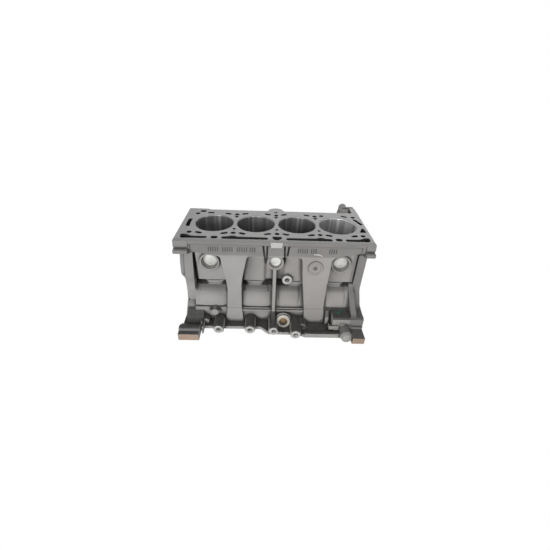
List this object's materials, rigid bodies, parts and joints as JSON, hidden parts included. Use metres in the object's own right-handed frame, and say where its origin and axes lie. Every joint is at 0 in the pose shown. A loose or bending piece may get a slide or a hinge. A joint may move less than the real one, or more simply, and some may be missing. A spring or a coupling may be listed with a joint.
{
  "type": "engine block",
  "caption": "Bare in-line cast-iron cylinder block with closed head face, water jacket, half crankcase with bearing caps, end flanges, coolant pump housing and bracket bosses.",
  "frame": {"origin": "on the crankshaft line, midway between the second and third cylinders, in the plane of the sump face", "axes": "+X along the crankshaft from the gearbox end to the timing end, +Z along the cylinder bores towards the head face, -Y towards the side with the bracket bosses"},
  "size_m": [0.4065, 0.3015, 0.246],
  "materials": {
    "block": "sand-cast grey iron, with machined head face, bores and boss faces",
    "caps": "cast with milled seats",
    "cap_bolts": "black phosphated steel",
    "plugs": "zinc plated pressed steel",
    "screw_plug": "zinc plated steel",
    "seal_ring": "soft aluminium",
    "dowels": "turned steel"
  },
  "bodies": {
    "root": {"engine_block": "block", "main_cap_1": "caps", "main_cap_2": "caps", "main_cap_3": "caps", "main_cap_4": "caps", "main_cap_5": "caps", "main_cap_bolts": "cap_bolts", "core_plug_front_left": "plugs", "core_plug_front_right": "plugs", "core_plug_front_centre": "plugs", "core_plug_rear_left": "plugs", "core_plug_rear_centre": "plugs", "core_plug_rear_right": "plugs", "screw_plug": "screw_plug", "screw_plug_ring": "seal_ring", "gallery_plug_gearbox_end": "plugs", "gallery_plug_timing_end": "plugs", "coolant_drain_plug": "screw_plug", "gearbox_dowels": "dowels", "timing_dowels": "dowels"}
  },
  "joints": []
}
